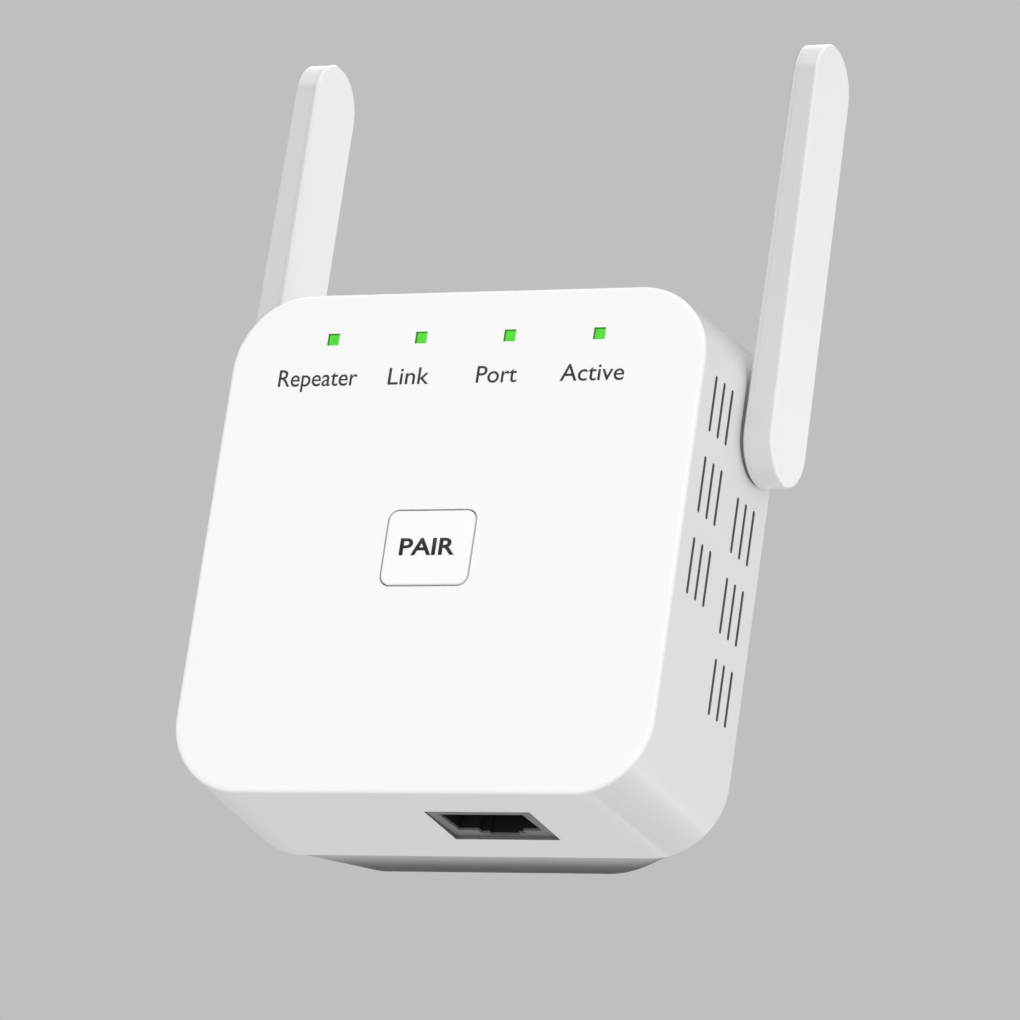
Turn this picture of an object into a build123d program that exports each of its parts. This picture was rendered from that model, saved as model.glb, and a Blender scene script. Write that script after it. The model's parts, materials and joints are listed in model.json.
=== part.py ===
from build123d import *
import os

# Wall-plug wifi range extender with two swivelling antennas.
# Frame: origin at the centre of the plug face, +Z up, +Y into the wall, front facing -Y, +X right.
# A "depth" is a distance forward of the plug face, so depth d is the plane Y = -d. Millimetres.

# ---- driving dimensions ----
FRONT, PARTING, REAR = 53.0, 27.0, 17.0      # depths of the front face, the split line, the rear face
WALL = 2.0
FRONT_W, FRONT_H = 74.0, 75.0                # front face
PARTING_W, PARTING_H = 75.6, 76.8            # front cover where it meets the rear cover
REAR_W, REAR_H = 64.0, 76.6                  # rear face, narrower so that the sides slope in
FRONT_R, PARTING_R, REAR_R = 11.2, 10.5, 18.0  # corner radii of the same three outlines
FRONT_EDGE_R, REAR_EDGE_R = 0.6, 2.5
LIP_STEP = 0.3                               # rear cover stands this far inside the front cover's edge
TONGUE_T = 1.2

POST_X, POST_Z = 25.0, 27.0                  # housing screw positions
POST_R, POST_BORE_R = 3.0, 1.52
SCREW_R, SCREW_HEAD_R, SCREW_HEAD_T = 1.5, 2.2, 1.6
COUNTERBORE_DEPTH = 2.6

LED_Z, LED_PITCH, LED_CENTRE_X = 30.5, 13.9, -0.5
LED_WINDOW, LED_RECESS = 1.8, 0.45           # window side, and how far the light pipe sits back in it
LED_COUNT = 4

BUTTON_X, BUTTON_Z = -1.3, -1.35
BUTTON_W, BUTTON_H, BUTTON_R = 13.5, 11.1, 1.5
BUTTON_GAP = 0.2
BUTTON_PROUD = 0.3

SLOT_LENGTH, SLOT_WIDTH, SLOT_PITCH = 8.3, 0.7, 2.75
SLOT_ROW_PITCH = 12.0
SLOT_ROWS = SLOTS_PER_ROW = 3
# depth of the middle slot and height of the middle row, for the front and the rear column
SLOT_COLUMNS = [(FRONT - 7.35, 9.35), (FRONT - 19.15, -4.35)]

JACK_X, JACK_W = 8.4, 16.2
JACK_FRONT, JACK_REAR = FRONT - 7.6, FRONT - 18.8
JACK_DEPTH = (JACK_FRONT + JACK_REAR) / 2
JACK_GAP = 0.15
JACK_FACE_Z, JACK_TOP_Z = -37.7, -17.0

ANTENNA_W, ANTENNA_T = 13.0, 4.5
ANTENNA_BOTTOM_Z, ANTENNA_TOP_Z = 15.0, 82.3
ANTENNA_X = 37.95                            # inner face of the blade
ANTENNA_LEAN = 0.8                           # the blade thins by this much towards its tip
HINGE_Z, HINGE_DEPTH = ANTENNA_BOTTOM_Z + ANTENNA_W / 2, 32.7
BASE_PLATE_T = 0.8
HUB_R, HUB_BORE_R, HUB_END_X = 3.0, 1.3, 31.2
RUNNING_GAP = 0.05
PAD_X, PAD_R = 33.6, 5.5
CLIP_X, CLIP_T, CLIP_GROOVE_R = 32.3, 0.6, 2.5
RECESS_X, RECESS_INSET = 36.85, 0.4          # recess floor, and its inset from the blade outline
RECESS_REACH = 1.4                           # how far the cut goes outward

BOSS_W, BOSS_H, BOSS_END = 36.0, 24.0, 2.5
PIN_PITCH, PIN_R, PIN_CORE_R, PIN_LENGTH = 19.0, 2.0, 1.4, 19.0
SLEEVE_R, SLEEVE_LENGTH = 1.83, 10.0
PIN_TAIL_R, PIN_COLLAR_R, PIN_TAIL_DEPTH = 1.5, 2.8, 14.0
CARRIER_T = 4.5

BOARD_REAR, BOARD_T = 46.0, 1.2              # main board: depth of its rear side, thickness
BOARD_FRONT = BOARD_REAR + BOARD_T
BOARD_W, BOARD_H, BOARD_R = 66.0, 67.0, 8.0
BOARD_SCREWS = [(-29.0, 2.0), (28.5, 4.0), (-10.0, -29.5)]
POWER_REAR, POWER_T = 21.0, 1.6              # power board: depth of its rear side, thickness
POWER_FRONT = POWER_REAR + POWER_T
POWER_W, POWER_BOTTOM, POWER_TOP = 42.4, -29.0, 31.0
POWER_SCREWS = [(-18.0, 27.0), (18.0, -25.0)]
SHEET_DEPTH, SHEET_T, SHEET_W, SHEET_H = 39.2, 0.3, 42.0, 41.0

COAX_R = 0.65
WIRE_R = 0.7
pieces = {}


# ---- helpers used inside the sub-part blocks ----
def at(depth):
    """Plane facing forward at a depth, with X to the right and Z up."""
    return Plane.XZ.offset(depth)


def rod(x, z, radius, start, stop, mode=Mode.ADD):
    """Round bar along Y between two depths."""
    with BuildSketch(at(start)) as outline:
        with Locations((x, z)):
            Circle(radius)
    extrude(outline.sketch, amount=stop - start, mode=mode)


def block(x, z, width, height, start, stop, radius=0.0, mode=Mode.ADD):
    """Rectangular or rounded bar along Y between two depths."""
    with BuildSketch(at(start)) as outline:
        with Locations((x, z)):
            if radius:
                RectangleRounded(width, height, radius)
            else:
                Rectangle(width, height)
    extrude(outline.sketch, amount=stop - start, mode=mode)


def disc(x_start, x_stop, radius, z=HINGE_Z, depth=HINGE_DEPTH, mode=Mode.ADD):
    """Round bar along X between two positions, on an antenna's hinge axis unless told otherwise."""
    with BuildSketch(Plane.YZ.offset(x_start)) as outline:
        with Locations((-depth, z)):
            Circle(radius)
    extrude(outline.sketch, amount=x_stop - x_start, mode=mode)


def shell_section(depth, width, height, corner, inset=0.0):
    """One rounded outline of the housing, for a loft."""
    with BuildSketch(at(depth)) as outline:
        RectangleRounded(width - 2 * inset, height - 2 * inset, corner - inset)
    return outline.sketch


def front_section(depth, inset=0.0):
    return shell_section(depth, FRONT_W, FRONT_H, FRONT_R, inset)


def parting_section(inset=0.0):
    return shell_section(PARTING, PARTING_W, PARTING_H, PARTING_R, inset)


def rear_section(depth, inset=0.0):
    return shell_section(depth, REAR_W, REAR_H, REAR_R, inset)


def blade_outline(x, margin=0.0, top=ANTENNA_TOP_Z):
    """Outline of an antenna blade seen from the side, grown by a margin."""
    bottom = ANTENNA_BOTTOM_Z - margin
    length = top + margin - bottom
    with BuildSketch(Plane.YZ.offset(x)) as outline:
        with Locations((-HINGE_DEPTH, bottom + length / 2)):
            SlotOverall(length, ANTENNA_W + 2 * margin, rotation=90)
    return outline.sketch


def cut_antenna_recesses():
    """Shallow recess in each side of the housing, just hidden behind the upright antenna."""
    for side in (1, -1):
        extrude(blade_outline(side * RECESS_X, -RECESS_INSET), amount=side * RECESS_REACH, mode=Mode.SUBTRACT)


def post_positions():
    return GridLocations(2 * POST_X, 2 * POST_Z, 2, 2)


# ---- housing ----
with BuildPart() as front_cover:
    loft([front_section(FRONT), parting_section()], ruled=True)
    fillet(front_cover.faces().sort_by(Axis.Y)[0].edges(), FRONT_EDGE_R)
    loft([front_section(FRONT - WALL, WALL), parting_section(WALL)], ruled=True, mode=Mode.SUBTRACT)
    # screw posts with pilot bores
    with BuildSketch(at(PARTING)):
        with post_positions():
            Circle(POST_R)
    extrude(amount=FRONT - WALL - PARTING)
    with BuildSketch(at(PARTING)):
        with post_positions():
            Circle(POST_BORE_R)
    extrude(amount=12.0, mode=Mode.SUBTRACT)
    # main board standoffs with pilot bores
    for x, z in BOARD_SCREWS:
        rod(x, z, 2.2, BOARD_FRONT, FRONT - WALL)
        rod(x, z, 1.02, BOARD_FRONT, FRONT - WALL, mode=Mode.SUBTRACT)
    for side in (1, -1):
        # bearing pad for the antenna hub
        disc(side * PAD_X, side * (RECESS_X - 0.6), PAD_R)
    cut_antenna_recesses()
    disc(-(FRONT_W / 2 + 3), FRONT_W / 2 + 3, HUB_R + RUNNING_GAP, mode=Mode.SUBTRACT)
    # side vents
    for side in (1, -1):
        for depth, row_z in SLOT_COLUMNS:
            with BuildSketch(Plane.YZ.offset(side * (FRONT_W / 2 - WALL - 0.5))):
                with Locations((-depth, row_z)):
                    with GridLocations(SLOT_PITCH, SLOT_ROW_PITCH, SLOTS_PER_ROW, SLOT_ROWS):
                        SlotOverall(SLOT_LENGTH, SLOT_WIDTH, rotation=90)
            extrude(amount=side * (WALL + 3), mode=Mode.SUBTRACT)
    # openings: status windows, button, network jack
    with BuildSketch(at(FRONT + 1)):
        with Locations((LED_CENTRE_X, LED_Z)):
            with GridLocations(LED_PITCH, 1, LED_COUNT, 1):
                Rectangle(LED_WINDOW, LED_WINDOW)
        with Locations((BUTTON_X, BUTTON_Z)):
            RectangleRounded(BUTTON_W + 2 * BUTTON_GAP, BUTTON_H + 2 * BUTTON_GAP, BUTTON_R + BUTTON_GAP)
    extrude(amount=-(WALL + 2), mode=Mode.SUBTRACT)
    with BuildSketch(Plane.XY.offset(-PARTING_H / 2 - 2)):
        with Locations((JACK_X, -JACK_DEPTH)):
            Rectangle(JACK_W, JACK_FRONT - JACK_REAR)
    extrude(amount=WALL + 4, mode=Mode.SUBTRACT)
pieces["front_cover"] = front_cover

with BuildPart() as rear_cover:
    loft([parting_section(LIP_STEP), rear_section(REAR)], ruled=True)
    fillet(rear_cover.faces().sort_by(Axis.Y)[-1].edges(), REAR_EDGE_R)
    loft([parting_section(LIP_STEP + WALL), rear_section(REAR + WALL, WALL)], ruled=True, mode=Mode.SUBTRACT)
    # plug boss
    with BuildSketch(at(REAR + WALL)):
        SlotOverall(BOSS_W, BOSS_H)
    extrude(amount=-(REAR + WALL))
    fillet(rear_cover.faces().sort_by(Axis.Y)[-1].edges(), 1.0)
    with BuildSketch(at(REAR + WALL + 1)):
        SlotOverall(BOSS_W - 2 * WALL, BOSS_H - 2 * WALL)
    extrude(amount=-(REAR + WALL + 1 - BOSS_END), mode=Mode.SUBTRACT)
    with BuildSketch(at(BOSS_END + 1)):
        with GridLocations(PIN_PITCH, 1, 2, 1):
            Circle(PIN_TAIL_R + RUNNING_GAP)
    extrude(amount=-(BOSS_END + 2), mode=Mode.SUBTRACT)
    # screw columns with counterbores in the rear face
    with BuildSketch(at(REAR + 1)):
        with post_positions():
            Circle(POST_R + 0.4)
    extrude(amount=PARTING - REAR - 1)
    with BuildSketch(at(REAR - 1)):
        with post_positions():
            Circle(SCREW_HEAD_R + 0.2)
    extrude(amount=COUNTERBORE_DEPTH + 1, mode=Mode.SUBTRACT)
    with BuildSketch(at(REAR)):
        with post_positions():
            Circle(SCREW_R + 0.1)
    extrude(amount=PARTING - REAR, mode=Mode.SUBTRACT)
    # tongue that locates the front cover, cut away round the antenna hubs
    shell_tongue = WALL + 0.15
    with BuildSketch(at(PARTING - 2)):
        RectangleRounded(PARTING_W - 2 * shell_tongue, PARTING_H - 2 * shell_tongue, PARTING_R - shell_tongue)
        RectangleRounded(PARTING_W - 2 * (shell_tongue + TONGUE_T), PARTING_H - 2 * (shell_tongue + TONGUE_T),
                         PARTING_R - shell_tongue - TONGUE_T, mode=Mode.SUBTRACT)
    extrude(amount=4)
    for side in (1, -1):
        block(side * PARTING_W / 2, HINGE_Z, 8, 14, PARTING, PARTING + 3, mode=Mode.SUBTRACT)
    # power board standoffs
    for x, z in POWER_SCREWS:
        rod(x, z, 2.2, REAR + 1, POWER_REAR)
        rod(x, z, 1.02, REAR + 1.5, POWER_REAR, mode=Mode.SUBTRACT)
    cut_antenna_recesses()
pieces["rear_cover"] = rear_cover

SCREW_HEAD_DEPTH = REAR + COUNTERBORE_DEPTH - SCREW_HEAD_T
SCREW_LENGTH, CROSS_LENGTH, CROSS_W, CROSS_DEPTH = 20.0, 2.6, 0.7, 1.0
with BuildPart() as housing_screws:
    with BuildSketch(at(SCREW_HEAD_DEPTH)):
        with post_positions():
            Circle(SCREW_HEAD_R)
    extrude(amount=SCREW_HEAD_T)
    fillet(housing_screws.edges().group_by(Axis.Y)[-1], 0.5)
    with BuildSketch(at(SCREW_HEAD_DEPTH)):
        with post_positions():
            Circle(SCREW_R)
    extrude(amount=SCREW_LENGTH)
    with BuildSketch(at(SCREW_HEAD_DEPTH)):
        with post_positions():
            Rectangle(CROSS_LENGTH, CROSS_W)
            Rectangle(CROSS_W, CROSS_LENGTH)
    extrude(amount=CROSS_DEPTH, mode=Mode.SUBTRACT)
pieces["housing_screws"] = housing_screws

# ---- mains plug ----
with BuildPart() as plug_pin_carrier:
    with BuildSketch(at(BOSS_END + 0.05)):
        SlotOverall(BOSS_W - 2 * WALL - 0.4, BOSS_H - 2 * WALL - 0.4)
    extrude(amount=CARRIER_T)
    for x in (-PIN_PITCH / 2, PIN_PITCH / 2):
        rod(x, 0, PIN_TAIL_R + RUNNING_GAP, BOSS_END, BOSS_END + CARRIER_T + 1, mode=Mode.SUBTRACT)
        rod(x, 0, PIN_COLLAR_R + RUNNING_GAP, BOSS_END, BOSS_END + 1.4, mode=Mode.SUBTRACT)
pieces["plug_pin_carrier"] = plug_pin_carrier


def pin_profile(x):
    """Live or neutral pin: solder tail, collar, thin core under the sleeve, full round tip."""
    rod(x, 0, PIN_TAIL_R, PIN_TAIL_DEPTH, 0)
    rod(x, 0, PIN_COLLAR_R, BOSS_END + 0.1, BOSS_END + 1.3)
    rod(x, 0, PIN_CORE_R, 0, -SLEEVE_LENGTH)
    rod(x, 0, PIN_R, -SLEEVE_LENGTH, -PIN_LENGTH)


with BuildPart() as plug_pin_left:
    pin_profile(-PIN_PITCH / 2)
    fillet(plug_pin_left.edges().sort_by(Axis.Y)[-1], 1.5)
pieces["plug_pin_left"] = plug_pin_left

with BuildPart() as plug_pin_right:
    pin_profile(PIN_PITCH / 2)
    fillet(plug_pin_right.edges().sort_by(Axis.Y)[-1], 1.5)
pieces["plug_pin_right"] = plug_pin_right

with BuildPart() as pin_sleeves:
    for x in (-PIN_PITCH / 2, PIN_PITCH / 2):
        rod(x, 0, SLEEVE_R, 0, -SLEEVE_LENGTH)
        rod(x, 0, PIN_CORE_R, 0, -SLEEVE_LENGTH, mode=Mode.SUBTRACT)
pieces["pin_sleeves"] = pin_sleeves

# ---- main board ----
with BuildPart() as main_board:
    with BuildSketch(at(BOARD_REAR)):
        RectangleRounded(BOARD_W, BOARD_H, BOARD_R)
        with post_positions():
            Circle(POST_R + 0.3, mode=Mode.SUBTRACT)
        with Locations(*BOARD_SCREWS):
            Circle(1.2, mode=Mode.SUBTRACT)
    extrude(amount=BOARD_T)
pieces["main_board"] = main_board


def board_screw(x, z, board_depth, into):
    """Pan head screw through a board; into is +1 when it points forward."""
    rod(x, z, 2.0, board_depth, board_depth - into * 1.2)
    rod(x, z, 1.0, board_depth, board_depth + into * 3.4)
    block(x, z, 2.4, 0.6, board_depth - into * 1.2, board_depth - into * 0.5, mode=Mode.SUBTRACT)
    block(x, z, 0.6, 2.4, board_depth - into * 1.2, board_depth - into * 0.5, mode=Mode.SUBTRACT)


with BuildPart() as main_board_screws:
    for x, z in BOARD_SCREWS:
        board_screw(x, z, BOARD_REAR, 1)
pieces["main_board_screws"] = main_board_screws

WIFI_X, WIFI_Z = -13.0, -14.0
with BuildPart() as wifi_chip:
    block(WIFI_X, WIFI_Z, 12, 12, BOARD_REAR, BOARD_REAR - 1.0)
    chamfer(wifi_chip.edges().filter_by(Axis.Y), 0.4)
pieces["wifi_chip"] = wifi_chip

with BuildPart() as thermal_pad:
    block(WIFI_X, WIFI_Z, 11, 11, BOARD_REAR - 1.0, BOARD_REAR - 1.5)
pieces["thermal_pad"] = thermal_pad

with BuildPart() as heat_sink:
    block(WIFI_X, WIFI_Z, 16, 16, BOARD_REAR - 1.5, BOARD_REAR - 6.3)
    for offset in (-5.2, -2.6, 0, 2.6, 5.2):
        block(WIFI_X + offset, WIFI_Z, 1.5, 17, BOARD_REAR - 2.7, BOARD_REAR - 7, mode=Mode.SUBTRACT)
pieces["heat_sink"] = heat_sink


def chip(x, z, width, height, thickness, legs):
    """Moulded chip on the main board's rear side with gull-wing legs on its two long sides."""
    block(x, z, width, height, BOARD_REAR - 0.15, BOARD_REAR - thickness)
    pitch = height / legs
    for row in range(legs):
        leg_z = z + (row - (legs - 1) / 2) * pitch
        block(x, leg_z, width + 2.0, pitch * 0.4, BOARD_REAR, BOARD_REAR - 0.25)


with BuildPart() as memory_chip:
    chip(x=15, z=1, width=8, height=10, thickness=1.1, legs=10)
pieces["memory_chip"] = memory_chip

with BuildPart() as flash_chip:
    chip(x=24, z=-4, width=4, height=5, thickness=1.5, legs=4)
pieces["flash_chip"] = flash_chip

CRYSTAL_X, CRYSTAL_Z = -1.5, -5.0
with BuildPart() as crystal:
    with BuildSketch(at(BOARD_REAR)):
        with Locations((CRYSTAL_X, CRYSTAL_Z)):
            SlotOverall(9, 3.6, rotation=90)
    extrude(amount=-2.6)
    fillet(crystal.faces().sort_by(Axis.Y)[-1].edges(), 0.4)
pieces["crystal"] = crystal

CAN_X, CAN_Z, CAN_W, CAN_H, CAN_RISE, CAN_T = -6.0, 14.0, 30.0, 16.0, 2.2, 0.3
CAN_HOLE_PITCH, CAN_HOLE_R = 4.5, 0.6
with BuildPart() as radio_shield_can:
    block(CAN_X, CAN_Z, CAN_W, CAN_H, BOARD_REAR, BOARD_REAR - CAN_RISE)
    fillet(radio_shield_can.edges().filter_by(Axis.Y), 0.8)
    block(CAN_X, CAN_Z, CAN_W - 2 * CAN_T, CAN_H - 2 * CAN_T, BOARD_REAR, BOARD_REAR - CAN_RISE + CAN_T,
          radius=0.5, mode=Mode.SUBTRACT)
    with BuildSketch(at(BOARD_REAR - CAN_RISE - 0.3)):
        with Locations((CAN_X, CAN_Z)):
            with GridLocations(CAN_HOLE_PITCH, CAN_HOLE_PITCH, 5, 3):
                Circle(CAN_HOLE_R)
    extrude(amount=1.0, mode=Mode.SUBTRACT)
pieces["radio_shield_can"] = radio_shield_can

CONNECTOR_X, CONNECTOR_Z = 27.0, 12.5
with BuildPart() as radio_connectors:
    for side in (1, -1):
        block(side * CONNECTOR_X, CONNECTOR_Z, 3, 3, BOARD_REAR, BOARD_REAR - 0.5)
        rod(side * CONNECTOR_X, CONNECTOR_Z, 1.1, BOARD_REAR - 0.5, BOARD_REAR - 1.6)
pieces["radio_connectors"] = radio_connectors

with BuildPart() as network_transformer:
    chip(x=JACK_X, z=-11, width=8, height=12, thickness=2.6, legs=8)
pieces["network_transformer"] = network_transformer

with BuildPart() as status_leds:
    with BuildSketch(at(BOARD_FRONT)):
        with Locations((LED_CENTRE_X, LED_Z)):
            with GridLocations(LED_PITCH, 1, LED_COUNT, 1):
                Rectangle(1.6, 0.8)
    extrude(amount=0.6)
pieces["status_leds"] = status_leds

PIPE_W = LED_WINDOW - 0.1
with BuildPart() as light_pipe_bar:
    with BuildSketch(at(BOARD_FRONT + 0.7)):
        with Locations((LED_CENTRE_X, LED_Z)):
            with GridLocations(LED_PITCH, 1, LED_COUNT, 1):
                Rectangle(PIPE_W, PIPE_W)
    extrude(amount=FRONT - LED_RECESS - BOARD_FRONT - 0.7)
    block(LED_CENTRE_X, LED_Z, LED_PITCH * (LED_COUNT - 1) + PIPE_W, 2.4,
          FRONT - WALL - 1.2, FRONT - WALL - 0.1)
pieces["light_pipe_bar"] = light_pipe_bar

# ---- push button and its switch ----
SWITCH_W, SWITCH_COVER_T = 6.0, 0.3
SWITCH_FRONT = BOARD_FRONT + 2.1
PLUNGER_TIP, PLUNGER_REAR = BOARD_FRONT + 2.55, BOARD_FRONT + 0.9
PLUNGER_R, PLUNGER_FLANGE_R = 1.65, 1.88
with BuildPart() as push_button:
    block(BUTTON_X, BUTTON_Z, BUTTON_W, BUTTON_H, FRONT - WALL - 1.0, FRONT + BUTTON_PROUD, radius=BUTTON_R)
    fillet(push_button.faces().sort_by(Axis.Y)[0].edges(), 0.4)
    block(BUTTON_X, BUTTON_Z, BUTTON_W + 2.4, BUTTON_H + 2.4,
          FRONT - WALL - 0.9, FRONT - WALL - 0.1, radius=2.0)
    rod(BUTTON_X, BUTTON_Z, 2.2, PLUNGER_TIP + 0.05, FRONT - WALL)
pieces["push_button"] = push_button

with BuildPart() as tact_switch_body:
    block(BUTTON_X, BUTTON_Z, SWITCH_W, SWITCH_W, BOARD_FRONT, SWITCH_FRONT - SWITCH_COVER_T)
    fillet(tact_switch_body.edges().filter_by(Axis.Y), 0.5)
    rod(BUTTON_X, BUTTON_Z, PLUNGER_FLANGE_R + 0.07, BOARD_FRONT + 0.4, SWITCH_FRONT, mode=Mode.SUBTRACT)
pieces["tact_switch_body"] = tact_switch_body

with BuildPart() as tact_switch_cover:
    block(BUTTON_X, BUTTON_Z, SWITCH_W, SWITCH_W, SWITCH_FRONT - SWITCH_COVER_T, SWITCH_FRONT)
    rod(BUTTON_X, BUTTON_Z, PLUNGER_R + 0.05, SWITCH_FRONT - SWITCH_COVER_T, SWITCH_FRONT, mode=Mode.SUBTRACT)
pieces["tact_switch_cover"] = tact_switch_cover

with BuildPart() as tact_switch_plunger:
    rod(BUTTON_X, BUTTON_Z, PLUNGER_R, PLUNGER_REAR, PLUNGER_TIP)
    rod(BUTTON_X, BUTTON_Z, PLUNGER_FLANGE_R, PLUNGER_REAR, SWITCH_FRONT - SWITCH_COVER_T - 0.05)
pieces["tact_switch_plunger"] = tact_switch_plunger

# ---- network jack, mouth down ----
# cavity for a cable plug: wide body, then two narrowing steps for its latch
CAVITY_FRONT, BODY_BACK, LATCH_BACK, CAVITY_BACK = [JACK_FRONT - step for step in (1.4, 8.4, 9.6, 10.4)]
BODY_W, LATCH_W, NOTCH_W = 12.9, 7.0, 4.6
CAVITY_LENGTH = 15.0
JACK_STEPS = [(BODY_W, CAVITY_FRONT, BODY_BACK),
              (LATCH_W, BODY_BACK, LATCH_BACK),
              (NOTCH_W, LATCH_BACK, CAVITY_BACK)]
JACK_BODY_W = JACK_W - 2 * JACK_GAP
JACK_BODY_D = JACK_FRONT - JACK_REAR - 2 * JACK_GAP
SHIELD_T, SHIELD_CLEARANCE = 0.35, 0.05


def jack_prism(width, depth_size, bottom, top, depth=JACK_DEPTH, mode=Mode.ADD):
    with BuildSketch(Plane.XY.offset(bottom)) as outline:
        with Locations((JACK_X, -depth)):
            Rectangle(width, depth_size)
    extrude(outline.sketch, amount=top - bottom, mode=mode)


def jack_cavity(bottom, top, grow=0.0):
    for width, near, far in JACK_STEPS:
        jack_prism(width + 2 * grow, near - far + 2 * grow, bottom, top, (near + far) / 2, Mode.SUBTRACT)


with BuildPart() as jack_shield:
    jack_prism(JACK_BODY_W, JACK_BODY_D, JACK_FACE_Z, JACK_TOP_Z)
    jack_prism(JACK_BODY_W - 2 * SHIELD_T, JACK_BODY_D - 2 * SHIELD_T,
               JACK_FACE_Z + SHIELD_T, JACK_TOP_Z - SHIELD_T, mode=Mode.SUBTRACT)
    jack_cavity(JACK_FACE_Z - 1, JACK_FACE_Z + 1)
pieces["jack_shield"] = jack_shield

with BuildPart() as jack_housing:
    skin = SHIELD_T + SHIELD_CLEARANCE
    jack_prism(JACK_BODY_W - 2 * skin, JACK_BODY_D - 2 * skin, JACK_FACE_Z + skin, JACK_TOP_Z - skin)
    jack_cavity(JACK_FACE_Z - 1, JACK_FACE_Z + CAVITY_LENGTH, SHIELD_CLEARANCE)
pieces["jack_housing"] = jack_housing

CONTACT_COUNT, CONTACT_PITCH, CONTACT_W, CONTACT_T = 8, 1.02, 0.4, 0.3
CONTACT_LOW_Z, CONTACT_HIGH_Z = JACK_FACE_Z + 3, JACK_FACE_Z + 12
CONTACT_Y = -CAVITY_FRONT + 0.05
CONTACT_SPRING = 0.5                         # each wire's top leans in by this much
with BuildPart() as jack_contacts:
    for index in range(CONTACT_COUNT):
        contact_x = JACK_X + (index - (CONTACT_COUNT - 1) / 2) * CONTACT_PITCH
        with BuildSketch(Plane.YZ.offset(contact_x - CONTACT_W / 2)):
            with BuildLine():
                Polyline((CONTACT_Y, CONTACT_LOW_Z), (CONTACT_Y + CONTACT_T, CONTACT_LOW_Z),
                         (CONTACT_Y + CONTACT_SPRING + CONTACT_T, CONTACT_HIGH_Z),
                         (CONTACT_Y + CONTACT_SPRING, CONTACT_HIGH_Z), close=True)
            make_face()
        extrude(amount=CONTACT_W)
pieces["jack_contacts"] = jack_contacts

# ---- power board ----
with BuildPart() as power_board:
    block(0, (POWER_TOP + POWER_BOTTOM) / 2, POWER_W, POWER_TOP - POWER_BOTTOM,
          POWER_REAR, POWER_FRONT, radius=1.5)
    with BuildSketch(at(POWER_REAR)):
        with Locations(*POWER_SCREWS):
            Circle(1.2)
    extrude(amount=POWER_T, mode=Mode.SUBTRACT)
pieces["power_board"] = power_board

with BuildPart() as power_board_screws:
    for x, z in POWER_SCREWS:
        board_screw(x, z, POWER_FRONT, -1)
pieces["power_board_screws"] = power_board_screws

CORE_X, CORE_Z = 9.0, 12.0
CORE_START, CORE_STOP = POWER_FRONT + 1.0, POWER_FRONT + 14.5
with BuildPart() as transformer_core:
    block(CORE_X, CORE_Z, 18, 6, CORE_START, CORE_STOP)
    for side in (1, -1):
        block(CORE_X + side * 4.45, CORE_Z, 4.1, 7, CORE_START + 2.4, CORE_STOP - 2.4, mode=Mode.SUBTRACT)
pieces["transformer_core"] = transformer_core

with BuildPart() as transformer_winding:
    block(CORE_X, CORE_Z, 12.6, 13, CORE_START + 2.5, CORE_STOP - 2.5, radius=2.5)
    block(CORE_X, CORE_Z, 5.0, 6.2, CORE_START + 2.4, CORE_STOP - 2.4, mode=Mode.SUBTRACT)
pieces["transformer_winding"] = transformer_winding


def leads(x, z, spacing, radius=0.3):
    """Two leads from a part down to the power board."""
    rod(x - spacing / 2, z, radius, POWER_FRONT, POWER_FRONT + 1.2)
    rod(x + spacing / 2, z, radius, POWER_FRONT, POWER_FRONT + 1.2)


BULK_X, BULK_Z, BULK_R = -14.0, 14.0, 5.0
with BuildPart() as bulk_capacitor:
    rod(BULK_X, BULK_Z, BULK_R, POWER_FRONT + 1.0, POWER_FRONT + 15.6)
    fillet(bulk_capacitor.edges().group_by(Axis.Y)[0], 0.8)
    leads(BULK_X, BULK_Z, 3.5)
pieces["bulk_capacitor"] = bulk_capacitor

OUTPUT_X, OUTPUT_Z, OUTPUT_R = 16.0, -4.0, 4.0
with BuildPart() as output_capacitor:
    rod(OUTPUT_X, OUTPUT_Z, OUTPUT_R, POWER_FRONT + 1.0, POWER_FRONT + 11.5)
    fillet(output_capacitor.edges().group_by(Axis.Y)[0], 0.8)
    leads(OUTPUT_X, OUTPUT_Z, 3.0)
pieces["output_capacitor"] = output_capacitor

BRIDGE_X, BRIDGE_Z = -15.0, 3.0
with BuildPart() as bridge_rectifier:
    block(BRIDGE_X, BRIDGE_Z, 6, 8, POWER_FRONT + 0.6, POWER_FRONT + 3.1)
    for lead_z in (BRIDGE_Z - 2.5, BRIDGE_Z + 2.5):
        leads(BRIDGE_X, lead_z, 5.0, 0.4)
pieces["bridge_rectifier"] = bridge_rectifier

FUSE_START_X, FUSE_STOP_X, FUSE_Z = -8.0, 0.5, 24.5
with BuildPart() as fuse_resistor:
    disc(FUSE_START_X, FUSE_STOP_X, 1.9, FUSE_Z, POWER_FRONT + 3.0)
    fillet(fuse_resistor.edges(), 0.7)
    for lead_x in (FUSE_START_X + 1.0, FUSE_STOP_X - 1.0):
        rod(lead_x, FUSE_Z, 0.35, POWER_FRONT, POWER_FRONT + 2)
pieces["fuse_resistor"] = fuse_resistor

SUPPRESSOR_X, SUPPRESSOR_Z = -3.0, -8.0
with BuildPart() as suppression_capacitor:
    block(SUPPRESSOR_X, SUPPRESSOR_Z, 10, 5, POWER_FRONT + 0.8, POWER_FRONT + 9.0)
    fillet(suppression_capacitor.edges().filter_by(Axis.Y), 0.8)
    leads(SUPPRESSOR_X, SUPPRESSOR_Z, 7.5)
pieces["suppression_capacitor"] = suppression_capacitor

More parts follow.
